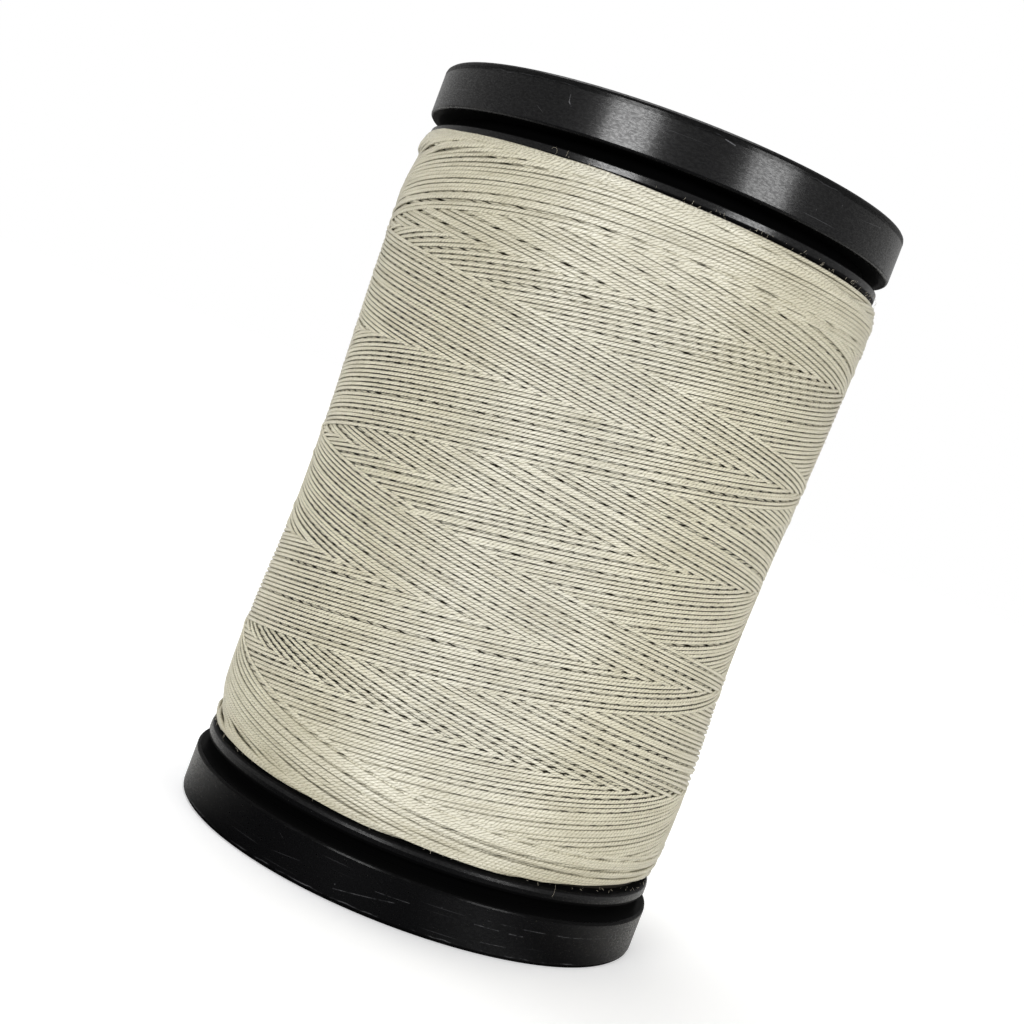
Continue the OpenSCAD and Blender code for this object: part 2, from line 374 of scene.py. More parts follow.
def edge_line_group():
    """A light line at one height, broken along its way: partly a worn edge, partly a painted highlight along
    a bevel.
    """
    inputs = {"Around": 0.0, "Height": 0.0, "Level": 0.0, "Width": 0.00006, "Amount": 0.5}
    tree, given, out = new_group("Edge Line", inputs, ("Mask",))
    at = joined(tree, given["Around"], given["Level"])
    stray = times(tree, maths(tree, "SUBTRACT", noise(tree, at, 700.0, 3.0), 0.5), 0.0004)
    off = maths(tree, "SUBTRACT", maths(tree, "SUBTRACT", given["Height"], given["Level"]), stray)
    broken = ramp(tree, noise(tree, at, 330.0, 3.0, 0.65), 0.46, 0.66)
    line = broken_line(tree, given, maths(tree, "ABSOLUTE", off), 0.3, broken)
    fill_in(tree, out, {"Mask": line})


def shade_group():
    """A mask for painted shade: a band between two heights where little light gets in, as in a groove."""
    inputs = {"Height": 0.0, "Low": 0.0, "High": 0.0, "Amount": 1.0}
    tree, given, out = new_group("Shaded Band", inputs, ("Mask",))
    blur = 0.00005
    above = ramp(tree, maths(tree, "SUBTRACT", given["Height"], given["Low"]), -blur, blur)
    below = ramp(tree, maths(tree, "SUBTRACT", given["High"], given["Height"]), -blur, blur)
    fill_in(tree, out, {"Mask": times(tree, above, below, given["Amount"])})


def dust_group():
    """Small specks of dust and lint."""
    tree, given, out = new_group("Dust Specks", {"Vector": None, "Amount": 0.5}, ("Mask",))
    spots = place(tree, "TexVoronoi", {"Vector": given["Vector"], "Scale": 1500.0}, feature="F1").outputs
    near = ramp(tree, spots["Distance"], 0.04, 0.11, 1.0, 0.0)
    kept = ramp(tree, place(tree, "SeparateColor", {0: spots["Color"]}).outputs[0], 0.93, 0.96)
    fill_in(tree, out, {"Mask": times(tree, near, kept, given["Amount"])})


def plied_thread_group():
    """Beads of a three-ply twist, with fibres along the plies."""
    inputs = {"Along": 0.0, "Around": 0.0, "Ply Pitch": 0.00042}
    tree, given, out = new_group("Plied Thread", inputs, ("Height", "Crown", "Fibre"))
    plies, looseness = 3.0, 1.6
    loose = noise(tree, joined(tree, given["Along"]), 1500.0)
    turned = scaled(tree, loose, looseness, times(tree, given["Around"], plies))
    phase = maths(tree, "ADD", turned, maths(tree, "DIVIDE", given["Along"], given["Ply Pitch"]))
    across = scaled(tree, maths(tree, "FRACT", phase), 2.0, -1.0)
    crown = maths(tree, "SQRT", maths(tree, "SUBTRACT", 1.0, times(tree, across, across), clamp=True))
    drawn = joined(tree, times(tree, phase, 1.7), times(tree, given["Along"], 2600.0), given["Around"])
    fibre = noise(tree, drawn, 1.0, 2.0, 0.6)
    height = scaled(tree, fibre, 0.35, crown)
    fill_in(tree, out, {"Height": height, "Crown": crown, "Fibre": fibre})


# ---- materials

# Distances from the axis, in metres, between which the plastic goes from matt inside to glossy outside.
MATT_R, GLOSSY_R = (FLANGE_R - 0.4) * MM, (FLANGE_R - 0.1) * MM


def empty_tree(owner):
    """The node tree of a material or a world, with nothing in it."""
    owner.use_nodes = True
    owner.node_tree.nodes.clear()
    return owner.node_tree


def new_material(name):
    """A material with its tree and its Principled shader."""
    made = bpy.data.materials.new(name)
    tree = empty_tree(made)
    shader = place(tree, "BsdfPrincipled")
    place(tree, "OutputMaterial", {0: shader.outputs[0]})
    return made, tree, shader


def plastic_material(name, settings, scratches, dust, lines, edges, bands):
    """Black moulded plastic with satin grain, streaks, dust, scratches, light edge lines (partly worn edges,
    partly painted highlights) and bands of painted shade.
    """
    made, tree, shader = new_material(name)
    at = place(tree, "TexCoord").outputs["Object"]
    where = use_group(tree, "Round and Up", {"Vector": at})
    rolled = {"Around": where["Around"], "Height": where["Height"]}
    grain = use_group(tree, "Satin Grain", {"Vector": at, "Grain Scale": 1.0 / settings.grain})
    marks = [
        ("Handling Scratches", {**rolled, "Amount": scratches}),
        ("Dust Specks", {"Vector": at, "Amount": dust}),
    ]
    for (u0, z0), (u1, z1), width, amount in lines:
        ends = {"Start": (u0 * MM, z0 * MM, 0.0), "End": (u1 * MM, z1 * MM, 0.0)}
        marks.append(("Scratch Line", {**rolled, **ends, "Width": width * MM, "Amount": amount}))
    for level, width, amount in edges:
        marks.append(("Edge Line", {**rolled, "Level": level * MM, "Width": width * MM, "Amount": amount}))
    # Bands of painted shade: there the plastic is painted near black, made fully rough and loses its gloss.
    shades = [
        ("Shaded Band", {"Height": where["Height"], "Low": low * MM, "High": high * MM, "Amount": amount})
        for low, high, amount in bands
    ]
    shade = strongest(tree, shades)
    lit = maths(tree, "SUBTRACT", 1.0, shade)
    # The marks: real scratches and dust, and the edge lines, which are partly painted highlights.
    scuffs_and_painted_highlights = times(tree, strongest(tree, marks), lit)

    skin = mix(tree, scuffs_and_painted_highlights, settings.colour, settings.dust_and_highlight_colour)
    even = ramp(tree, where["Radius"], MATT_R, GLOSSY_R, 0.85, 0.40)
    rough = scaled(tree, grain["Patches"], 0.10, even)
    clean = scaled(tree, scuffs_and_painted_highlights, -0.8, grain["Gloss"], clamp=True)
    outer = ramp(tree, where["Radius"], MATT_R, GLOSSY_R)
    bump = place(tree, "Bump", {"Strength": 0.6, "Distance": 0.000014, "Height": grain["Height"]})
    finish = {
        "Base Color": mix(tree, shade, skin, (0.0003, 0.0003, 0.0004)),
        "Roughness": maths(tree, "ADD", shade, rough, clamp=True),
        "Specular IOR Level": settings.haze_level,
        "Coat Weight": times(tree, clean, outer, lit),
        "Coat Roughness": 0.205,
        "Coat IOR": settings.gloss_ior,
        "Normal": bump.outputs[0],
    }
    fill_in(tree, shader, finish)
    return made


def thread_material(settings):
    """Waxed plied thread, from the run of the thread in its UV map."""
    made, tree, shader = new_material("waxed thread")
    z0, z1 = WINDING_Z0 * MM, WINDING_Z1 * MM
    along, around, _ = parts(tree, place(tree, "UVMap", uv_map="run").outputs[0])
    at = parts(tree, place(tree, "TexCoord").outputs["Object"])
    height = at[2]
    ply = use_group(tree, "Plied Thread", {"Along": along, "Around": around, "Ply Pitch": settings.ply_pitch})

    # The skin is painted light on each ply's crown and with painted shade in the creases between plies; it is
    # darker next to the lower flange and in patches.
    crown = maths(tree, "POWER", ply["Crown"], 1.4)
    body = scaled(tree, ply["Fibre"], 0.7, times(tree, crown, 0.76), clamp=True)
    body = times(tree, body, ramp(tree, height, z0 - 0.0002, z0 + 0.0032, 0.72, 1.0))
    skin = mix(tree, body, settings.crease_shade_colour, settings.colour)
    slow = noise(tree, joined(tree, along), 160.0)
    skin = mix(tree, ramp(tree, slow, 0.35, 0.7, 0.0, 0.25), skin, settings.crease_shade_colour)

    # The winding is calm near both flanges, where gaps show less. Its sides get a painted warmer tint and,
    # near the flanges, painted shade.
    upper = ramp(tree, height, z1 - 0.0154, z1 - 0.0054, 0.0, 0.58)
    lower = ramp(tree, height, z0 + 0.0039, z0 + 0.0099, 0.65, 0.0)
    calm = maths(tree, "ADD", upper, lower)
    off_middle = maths(tree, "ABSOLUTE", at[0])
    sides = ramp(tree, off_middle, 0.003, 0.013)
    skin = mix(tree, sides, skin, vector_maths(tree, "MULTIPLY", skin, (1.0, 0.985, 0.925)))
    skin = mix(tree, times(tree, sides, calm, 0.15), skin, (0.0, 0.0, 0.0))

    # Painted shade in the gaps between strands: wider on the front's sides, fading out at its edges.
    front = ramp(tree, at[1], -0.004, 0.006, 1.0, 0.0)
    faded = ramp(tree, off_middle, 0.0165, FLANGE_R * MM)
    wider = maths(tree, "SUBTRACT", ramp(tree, off_middle, 0.006, 0.0165), faded)
    wider = times(tree, wider, scaled(tree, calm, -1.6, 1.0, clamp=True), front)
    edge = maths(tree, "ABSOLUTE", maths(tree, "SUBTRACT", around, 0.5))
    edge = scaled(tree, ply["Crown"], -0.085, edge)
    edge = scaled(tree, wider, scaled(tree, at[0], -0.7, 0.022), edge)
    fuzz = noise(tree, joined(tree, along, times(tree, around, 0.0003)), 2400.0)
    gap = ramp(tree, scaled(tree, fuzz, -0.18, edge), -0.015, 0.06)
    relief = maths(tree, "MAXIMUM", calm, times(tree, faded, front, 0.55))
    gap = times(tree, gap, maths(tree, "SUBTRACT", 1.0, relief))

    # The gaps show the painted shade colour of the thread under the surface.
    depth = mix(tree, wider, settings.deep_shade_colour, (0.008, 0.006, 0.003))
    bump = place(tree, "Bump", {"Strength": 0.9, "Distance": 0.00008, "Height": ply["Height"]})
    finish = {
        "Base Color": mix(tree, gap, skin, depth),
        "Roughness": scaled(tree, ply["Fibre"], 0.3, 0.30),
        "IOR": 1.42,
        "Specular IOR Level": 0.2,
        "Coat Weight": times(tree, crown, maths(tree, "SUBTRACT", 1.0, gap, clamp=True)),
        "Coat Roughness": 0.27,
        "Normal": bump.outputs[0],
    }
    fill_in(tree, shader, finish)
    return made


def packed_thread_material(settings):
    """Thread deep in the pack, in dark painted shade, with faint bands round it."""
    made, tree, shader = new_material("packed thread")
    at = place(tree, "TexCoord").outputs["Object"]
    bands = noise(tree, vector_maths(tree, "MULTIPLY", at, (200.0, 200.0, 2600.0)), 1.0)
    darker = [0.5 * c for c in settings.deep_shade_colour]
    fill_in(tree, shader, {"Base Color": mix(tree, bands, darker, settings.deep_shade_colour), "Roughness": 0.8})
    return made


def fibre_material(name, colour):
    """A single dull fibre."""
    made, tree, shader = new_material(name)
    fill_in(tree, shader, {"Base Color": (*colour, 1.0), "Roughness": 0.6})
    return made


def seen_directly(tree, gloss):
    """1 for the camera and through glass, a share of it in gloss, 0 for soft light."""
    path = place(tree, "LightPath").outputs
    through = maths(tree, "MAXIMUM", path["Is Camera Ray"], path["Is Transmission Ray"])
    return maths(tree, "MAXIMUM", through, times(tree, path["Is Glossy Ray"], gloss))


def floor_material(settings):
    """White floor, lit by the lamps and glowing a little."""
    made = bpy.data.materials.new("white floor")
    tree = empty_tree(made)
    at = place(tree, "TexCoord").outputs["Object"]
    spot = parts(tree, at)
    away = vector_maths(tree, "LENGTH", at)
    path = place(tree, "LightPath").outputs

    # In gloss the lit floor is painted dark before the spool, a painted shade in the lower rim's reflection,
    # and brighter beside and behind it.
    behind = maths(tree, "DIVIDE", scaled(tree, spot[0], 0.12, spot[1]), away)
    mirrored = mix(tree, ramp(tree, behind, -0.8, 0.1), (0.02, 0.02, 0.02), (0.62, 0.62, 0.62))
    colour = mix(tree, path["Is Glossy Ray"], (0.78, 0.787, 0.81), mirrored)
    lit = place(tree, "BsdfDiffuse", {"Color": colour}).outputs[0]

    # The floor glows for the camera, less so next to the spool, and far from it a little in gloss.
    seen = seen_directly(tree, ramp(tree, away, 0.03, 0.3, 0.0, settings.floor_gloss))
    shown = times(tree, seen, ramp(tree, away, 0.04, 0.40, 0.40, 1.0))
    # Next to the spool it gives soft light, and to the right a glint in the lower rim.
    fill = ramp(tree, away, 0.045, 0.09, settings.floor_fill, 0.0)
    shown = scaled(tree, path["Is Diffuse Ray"], fill, shown)
    right = maths(tree, "DIVIDE", spot[0], away)
    glint = maths(tree, "MINIMUM", ramp(tree, right, 0.06, 0.42), ramp(tree, right, 0.46, 0.74, 1.0, 0.0))
    glint = times(tree, glint, ramp(tree, away, 0.034, 0.05, 0.25, 0.0))
    shown = scaled(tree, path["Is Glossy Ray"], glint, shown)
    glow = place(tree, "Emission", {"Strength": shown}).outputs[0]
    place(tree, "OutputMaterial", {0: place(tree, "AddShader", {0: lit, 1: glow}).outputs[0]})
    return made


def room(settings):
    """A room that gives soft warm light and shows plain white."""
    made = bpy.data.worlds.new("room")
    tree = empty_tree(made)
    soft = place(tree, "Background", {0: (1.0, 0.98, 0.93, 1), 1: settings.ambient}).outputs[0]
    white = place(tree, "Background", {0: (1, 1, 1, 1)}).outputs[0]
    seen = seen_directly(tree, settings.gloss_share)
    place(tree, "OutputWorld", {0: place(tree, "MixShader", {0: seen, 1: soft, 2: white}).outputs[0]})
    return made


# ---- winding

# Steps of the laying in one turn, and how many of them a ring of the tube stands for.
STEPS = 360
EVERY = 4
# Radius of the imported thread's bore, a little wider than the barrel, in millimetres.
PACK_BORE_R = 13.05


def smooth_step(value, low, high):
    """0 at low, 1 at high and smooth between them. Low may be the higher one."""
    t = np.clip((value - low) / (high - low), 0.0, 1.0)
    return t * t * (3 - 2 * t)


def towards_ends(z, middle, lower, upper):
    """A value that changes towards each flange, between two distances from it: (start, end, change)."""
    value = middle
    for gone, (start, end, change) in ((z - WINDING_Z0, lower), (WINDING_Z1 - z, upper)):
        value = value + change * smooth_step(gone, start, end)
    return value


def stack_depth(z):
    """Depth of the modelled strands below the winding's outer surface, in millimetres."""
    return towards_ends(z, 0.48, (3.9, 1.4, 0.3), (4.4, 1.4, 0.35))


def winding_radius(z):
    """Outer radius of the winding at a height, in millimetres: a waist between two crowns."""
    lower_crown_at, waist_at, upper_crown_at = 9.0, 22.0, 2.4
    lower_corner, lower_crown, waist, upper_crown, upper_corner = -0.2, 0.35, -0.1, 0.75, 0.4
    length = WINDING_Z1 - WINDING_Z0
    upper_at = length - upper_crown_at
    s = np.clip(z - WINDING_Z0, 0.0, length)

    def settle(a, b, t):
        return a + (b - a) * (1 - (1 - t) ** 3)

    def blend(a, b, t):
        return a + (b - a) * (1 - np.cos(np.pi * t)) / 2

    outline = np.select(
        [s < lower_crown_at, s < waist_at, s < upper_at],
        [
            settle(lower_corner, lower_crown, s / lower_crown_at),
            blend(lower_crown, waist, (s - lower_crown_at) / (waist_at - lower_crown_at)),
            blend(waist, upper_crown, (s - waist_at) / (upper_at - waist_at)),
        ],
        settle(upper_corner, upper_crown, (length - s) / upper_crown_at),
    )
    # Past the upper flange it falls.
    return FLANGE_R + outline - 0.4 * np.clip(z - WINDING_Z1, 0.0, 1.0)


def wandering(rng, count, spacing, reach):
    """Slow random noise along the thread."""
    knots = rng.normal(0.0, reach, int(count / spacing) + 3)
    return np.interp(np.arange(count) / spacing, np.arange(len(knots)), knots)


def thread_path(settings):
    """Angle in turns and height in millimetres of the thread's centre, step by step from its inner end."""
    rng = np.random.default_rng(11)
    pitch = settings.pitch / MM
    strokes = settings.strokes
    stroke_turns = settings.turns + 1 / strokes
    rings = 8
    lead = round((rings + stroke_turns / 2) * STEPS)
    count = round(strokes * stroke_turns * STEPS) + lead
    turns = (np.arange(count + 1) - lead) / STEPS
    reach = pitch * stroke_turns / 2
    above_middle = 0.505
    bottom = (WINDING_Z0 + WINDING_Z1 - reach) / 2 + above_middle
    up_turns = (settings.crossing_height / MM - bottom) / pitch
    start = settings.crossing_angle / (2 * math.pi) - ((strokes - 1) * stroke_turns + up_turns)

    phase = np.mod(turns, stroke_turns)
    rising = phase < stroke_turns / 2
    z = bottom + pitch * np.where(rising, phase, stroke_turns - phase)

    # Strands slip towards the ends, where the winding rounds off: falling ones down, rising ones up.
    slip_down, slip_up = 1.4, 0.45
    slipping = smooth_step(z - WINDING_Z0, 10.9, 6.4) * smooth_step(z - WINDING_Z0, -0.6, 2.4)
    z = z - slip_down * np.where(rising, 0.0, slipping)
    z = z + slip_up * np.where(rising, smooth_step(WINDING_Z1 - z, 11.4, 7.4), 0.0)

    # The newest strokes turn back short of the flanges, older ones further out, the oldest at the flanges.
    top_age = np.clip(strokes - 1 - np.floor(turns / stroke_turns), 0, strokes).astype(int)
    end_age = np.clip(strokes - np.round(turns / stroke_turns), 0, strokes + 1).astype(int)
    ages = np.arange(strokes + 2)
    newest_top, top_step, last_top, top_play = WINDING_Z1 - 4.3, 0.37, WINDING_Z1 + 0.35, 0.4
    newest_end, end_step, last_end, end_play = WINDING_Z0 + 3.3, 0.36, WINDING_Z0 - 0.1, 0.3
    tops = np.minimum(newest_top + top_step * ages[:-1], last_top - top_play * rng.random(strokes + 1))
    ends = np.maximum(newest_end - end_step * ages, last_end + end_play * rng.random(strokes + 2))
    top, end = tops[top_age], ends[end_age]
    # The turns next to the flanges lie a little lower or higher on some sides of the spool.
    side = np.sin(2 * np.pi * (turns + start))
    top = np.where(top > WINDING_Z1 - 0.9, top - 0.35 * side, top)
    end = np.where(end < WINDING_Z0 + 0.9, end + 0.15 * side**2, end)
    bend = 0.45
    z = top - bend * np.log1p(np.exp((top - z) / bend))
    z = end + bend * np.log1p(np.exp((z - end) / bend))

    # The thread starts with a few rings under the upper flange, down and up again.
    round_ring = turns + stroke_turns / 2 + rings
    down = settings.width / MM * (rings / 2 - np.abs(round_ring - rings / 2))
    ring_z = WINDING_Z1 + 0.22 - down - np.where(side > 0, 0.3, 0.5) * side
    z = np.where(round_ring < rings, ring_z, z)

    # Uneven spacing: each pass has its own offset, and the thread strays on its way, more so near the ends.
    wander = settings.wander / MM
    passes = rng.normal(0.0, wander, 2 * strokes + 4)
    stray = np.interp(turns / (stroke_turns / 2), np.arange(len(passes)) - 3.5, passes)
    stray = stray + wandering(rng, count + 1, 0.16 * STEPS, wander * 0.75)
    stray = stray + wandering(rng, count + 1, 0.9 * STEPS, wander * 0.8)
    return turns + start, z + stray * towards_ends(z, 1.0, (10.4, 4.4, 0.6), (10.4, 4.4, 0.6))


def lay_thread(turns, z, settings):
    """Radius of the thread's centre, in millimetres, as each step is laid on what lies there already."""
    half_w, half_h = settings.width / MM / 2, settings.height / MM / 2
    give = settings.nesting / MM
    count = len(z)
    # The outline holds the strands in, softly and with a little room over it.
    slack, over_outline = 0.06, 0.04
    most = winding_radius(z) - half_h + over_outline

    # The surface so far: one radius for each step round and each row up.
    row, below, above = 0.03, 0.6, 1.8
    low = WINDING_Z0 - below
    heights = low + row * np.arange(int((WINDING_Z1 + above - low) / row))
    ground = np.where(heights > WINDING_Z1 - 0.02, FLANGE_R, winding_radius(heights) - stack_depth(heights))
    surface = np.tile(ground, (STEPS, 1))
    column = np.mod(np.round(turns * STEPS).astype(int), STEPS)
    centre_row = np.round((z - low) / row).astype(int)
    window = np.arange(-int(half_w / row) - 1, int(half_w / row) + 2)

    # The thread is stiff, so what holds it up a few steps before and after counts too.
    reach = 6
    near_steps = np.arange(-reach, reach + 1)
    pull = np.exp(-0.5 * (near_steps / 2.0) ** 2)
    pull /= pull.sum()

    def cells(i):
        at = centre_row[i][:, None] + window
        return column[i][:, None], at, (heights[at] - z[i][:, None]) / half_w

    support, radius = np.empty((2, count))
    bearing = 0.72

    def probe(i):
        col, at, across = cells(i)
        under = np.where(np.abs(across) < bearing, surface[col, at], 0.0)
        support[i] = under.max(axis=1) + half_h - give

    # A third of a turn is laid at a time, so no step lies on another one of its own chunk.
    chunk = STEPS // 3
    probe(np.arange(reach))
    for first in range(0, count, chunk):
        last = min(first + chunk, count)
        probe(np.arange(first + reach, min(last + reach, count)))
        now = np.arange(first, last)
        near = np.clip(now[:, None] + near_steps, 0, count - 1)
        held = support[near] @ pull
        over = np.clip((held - most[now]) / slack, -30, 30)
        radius[now] = most[now] - slack * np.log1p(np.exp(-over))
        col, at, across = cells(now)
        crown = radius[now][:, None] + half_h * np.sqrt(np.clip(1 - across**2, 0, 1))
        crown = np.where(np.abs(across) < 1, crown, 0.0)
        surface[col, at] = np.maximum(surface[col, at], crown)
    return radius


def as_mesh(name, shape):
    """Turns a bmesh into a mesh and frees it."""
    mesh = bpy.data.meshes.new(name)
    shape.to_mesh(mesh)
    shape.free()
    return mesh


def add_object(name, data):
    """Puts an object with this mesh, lamp or camera in the scene."""
    made = bpy.data.objects.new(name, data)
    bpy.context.scene.collection.objects.link(made)
    return made


def numbers(items, attribute, width, kind=float):
    """An attribute of all of a mesh's items, as rows of numbers."""
    flat = np.empty(len(items) * width, kind)
    items.foreach_get(attribute, flat)
    return flat.reshape(-1, width)


def thread_tube(name, settings, turns, z, radius, run):
    """One length of thread: a grid rolled into a straight tube and closed, then laid along the winding."""
    sides, rings = 8, len(z)
    tube = bmesh.new()
    tube.loops.layers.uv.new("run")
    bmesh.ops.create_grid(tube, x_segments=rings - 1, y_segments=sides, size=1.0, calc_uvs=True)
    for corner in tube.verts:
        angle = math.pi * (corner.co.y + 1)
        corner.co = Vector(((corner.co.x + 1) / 2 * (rings - 1), math.cos(angle), math.sin(angle)))
    bmesh.ops.remove_doubles(tube, verts=tube.verts, dist=0.01)
    bmesh.ops.holes_fill(tube, edges=[edge for edge in tube.edges if edge.is_boundary], sides=sides)
    bmesh.ops.recalc_face_normals(tube, faces=tube.faces)
    mesh = as_mesh(name, tube)

    straight = numbers(mesh.vertices, "co", 3)
    ring = np.round(straight[:, 0]).astype(int)
    across, up = straight[:, 2], -straight[:, 1]
    angle = 2 * np.pi * turns
    out = np.stack([np.sin(angle), -np.cos(angle)], 1)[ring]
    way = np.stack([np.cos(angle), np.sin(angle)], 1)[ring]
    rise = np.gradient(z, run)
    level = np.sqrt(1 - np.clip(rise, -0.9, 0.9) ** 2)
    fuller = towards_ends(z, 1.04, (8.9, 4.4, 0.12), (7.4, 3.4, 0.08))
    side = across * settings.width / MM / 2 * fuller[ring]
    r = radius[ring] + up * settings.height / MM / 2
    placed = np.empty_like(straight)
    placed[:, :2] = out * r[:, None] - way * (side * rise[ring])[:, None]
    placed[:, 2] = z[ring] + side * level[ring]
    mesh.vertices.foreach_set("co", (placed * MM).ravel())

    layer = mesh.uv_layers["run"].uv
    uv = numbers(layer, "vector", 2)
    corner_ring = uv[:, 0] * (rings - 1)
    uv[:, 0] = np.interp(corner_ring, np.arange(rings), run) * MM
    layer.foreach_set("vector", uv.ravel())
    bake_rows(mesh, np.round(corner_ring).astype(int), uv[:, 1])
    mesh.shade_smooth()
    mesh.update()
    return add_object(name, mesh)


def bake_rows(mesh, ring, around):
    """A UV map for baking: rows of half a turn, most of each row's height for the side that shows."""
    per_row = STEPS // EVERY // 2
    loops = ("loop_start", "loop_total")
    starts, sizes = (numbers(mesh.polygons, name, 1, np.int32)[:, 0] for name in loops)
    row = np.repeat(np.minimum.reduceat(ring, starts) // per_row, sizes)
    margin, gap = 0.004, 0.04
    along = margin + (1 - 2 * margin) * (ring - row * per_row) / per_row
    share = np.interp(around, (0.0, 0.25, 0.75, 1.0), (0.0, 0.1, 0.9, 1.0))
    up = (row + gap + (1 - 2 * gap) * share) / (row.max() + 1)
    layer = mesh.uv_layers.new(name="OFBake")
    layer.uv.foreach_set("vector", np.stack([np.clip(along, 0.0, 1.0), up], 1).ravel())


def thread_core():
    """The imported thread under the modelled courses, a ring spun round the axis."""
    core = bmesh.new()
    heights = np.linspace(PACK[0].z / MM, PACK[1].z / MM, 60)
    # It stays just under the strands, and lower right under the upper flange.
    under = 0.02 + 0.5 * smooth_step(WINDING_Z1 - heights, 0.4, 0.0)
    radii = winding_radius(heights) - stack_depth(heights) - under
    outline = [(PACK_BORE_R, heights[0]), *zip(radii, heights), (PACK_BORE_R, heights[-1])]
    corners = [core.verts.new((r * MM, 0.0, h * MM)) for r, h in outline]
    edges = [core.edges.new(pair) for pair in zip(corners, corners[1:] + corners[:1])]
    turn = {"cent": (0, 0, 0), "axis": (0, 0, 1), "angle": 2 * math.pi, "steps": 180}
    bmesh.ops.spin(core, geom=corners + edges, use_merge=True, use_duplicate=False, **turn)
    bmesh.ops.recalc_face_normals(core, faces=core.faces)
    mesh = as_mesh("thread_core", core)
    mesh.shade_smooth()
    return add_object("thread_core", mesh)


# ---- fibres

# Shapes of the stray fibres: radius of the bend in millimetres and how far it runs, in degrees.
FIBRE_CURLS = ((0.6, 60.0), (1.0, 40.0), (1.6, 30.0), (0.9, 75.0), (2.5, 20.0), (0.45, 110.0))
LONE_CURLS = ((2.4, 50.0), (0.5, 200.0), (1.4, 35.0), (0.9, 45.0))
# Single fibres: shape, angle from the front in degrees, height in millimetres, steepness, roll, size, slot.
SINGLE_FIBRES = (
    (0, 4.0, 57.9, 0.9, 90.0, 0.8, 1),
    (1, -26.0, 62.3, 0.7, 90.0, 0.6, 0),
    (0, 35.0, 6.9, -0.75, 75.0, 0.5, 0),
    (2, -22.0, 62.0, 0.9, 20.0, 0.6, 0),
    (3, -9.0, 44.0, 0.4, 90.0, 0.5, 1),
)


def curl(radius, bend, sweep):
    """A fibre that starts at the origin along Z: a small ring swept along an arc and closed."""
    made = bmesh.new()
    ring = bmesh.ops.create_circle(made, segments=4, radius=radius)["verts"]
    arc = {"cent": (bend * MM, 0, 0), "axis": (0, 1, 0), "angle": math.radians(sweep), "steps": 6}
    bmesh.ops.spin(made, geom=ring + made.edges[:], **arc)
    bmesh.ops.holes_fill(made, edges=[edge for edge in made.edges if edge.is_boundary], sides=4)
    bmesh.ops.recalc_face_normals(made, faces=made.faces)
    return as_mesh("curl", made)


def add_fibre(fibres, shape, angle, z, steep, roll, size):
    """Puts a fibre on the winding. Steep is 1 upwards, -1 downwards and 0 along the thread."""
    first = len(fibres.verts)
    fibres.from_mesh(shape)
    fibres.verts.ensure_lookup_table()
    a = math.radians(angle)
    out = Vector((math.sin(a), -math.cos(a), 0.0))
    along = Vector((math.cos(a), math.sin(a), 0.0))
    steepest, lean = 1.3, 0.12
    climb = max(-steepest, min(steepest, steep)) * math.pi / 2
    heading = (along * math.cos(climb) + Vector((0, 0, 1)) * math.sin(climb) + out * lean).normalized()
    aside = heading.cross(out).normalized()
    turned = Matrix((aside.cross(heading), aside, heading)).transposed()
    turned = (turned @ Matrix.Rotation(math.radians(roll), 3, "Z")).to_4x4()
    radius = float(winding_radius(np.array(z))) + 0.01
    spot = Matrix.Translation((out * radius + Vector((0, 0, z))) * MM)
    bmesh.ops.transform(fibres, matrix=spot @ turned @ Matrix.Scale(size, 4), verts=fibres.verts[first:])


# ---- operators

# Marks and painted shade of each moulding: amount of its streaks and dust, single scratches (start, end,
# width, amount), light edge lines, partly worn edges and partly painted highlights (height, width, amount),
# and bands of painted shade in grooves, under flanges and on some bevels (low, high, amount). Starts and ends
# are distances round from the front and heights, all in millimetres.
WEAR_AND_SHADE = {
    "spool_body": dict(
        scratches=0.1, dust=0.4, lines=(),
        edges=((6.5, 0.05, 0.12),),
        bands=((61.2, 61.92, 0.75), (62.5, 63.0, 1.0), (5.0, 5.66, 0.9), (6.3, 6.75, 0.6)),
    ),
    "top_snap_cap": dict(
        scratches=0.2, dust=0.25,
        lines=(
            ((-9.7, 66.65), (-9.6, 66.1), 0.05, 0.8), ((-9.6, 66.1), (-9.3, 65.8), 0.06, 0.9),
            ((3.2, 67.3), (4.1, 67.15), 0.05, 0.9), ((5.2, 67.4), (5.75, 67.1), 0.05, 0.9),
            ((6.3, 66.1), (7.1, 66.35), 0.05, 0.2), ((7.1, 66.35), (8.0, 66.0), 0.05, 0.2),
            ((6.6, 65.6), (8.3, 65.5), 0.05, 0.15),
        ),
        edges=((67.4, 0.06, 0.5),),
        bands=((67.3, 67.95, 0.45), (62.0, 63.83, 1.0)),
    ),
    "bottom_snap_cap": dict(
        scratches=0.13, dust=0.25,
        lines=(
            ((-4.8, 1.15), (0.3, 2.0), 0.045, 0.3), ((8.0, 2.95), (15.5, 2.85), 0.04, 0.3),
            ((15.0, 2.8), (22.5, 2.75), 0.04, 0.25), ((7.0, 2.4), (9.2, 2.35), 0.045, 0.3),
            ((10.2, 2.3), (11.5, 2.3), 0.06, 0.4), ((8.0, 1.1), (10.4, 1.15), 0.045, 0.25),
            ((-1.5, 2.3), (1.4, 2.4), 0.04, 0.3),
        ),
        edges=((4.02, 0.07, 0.5), (0.42, 0.06, 0.35)),
        bands=((0.02, 0.33, 0.9), (3.93, 4.25, 0.75), (4.17, 5.7, 1.0)),
    ),
}

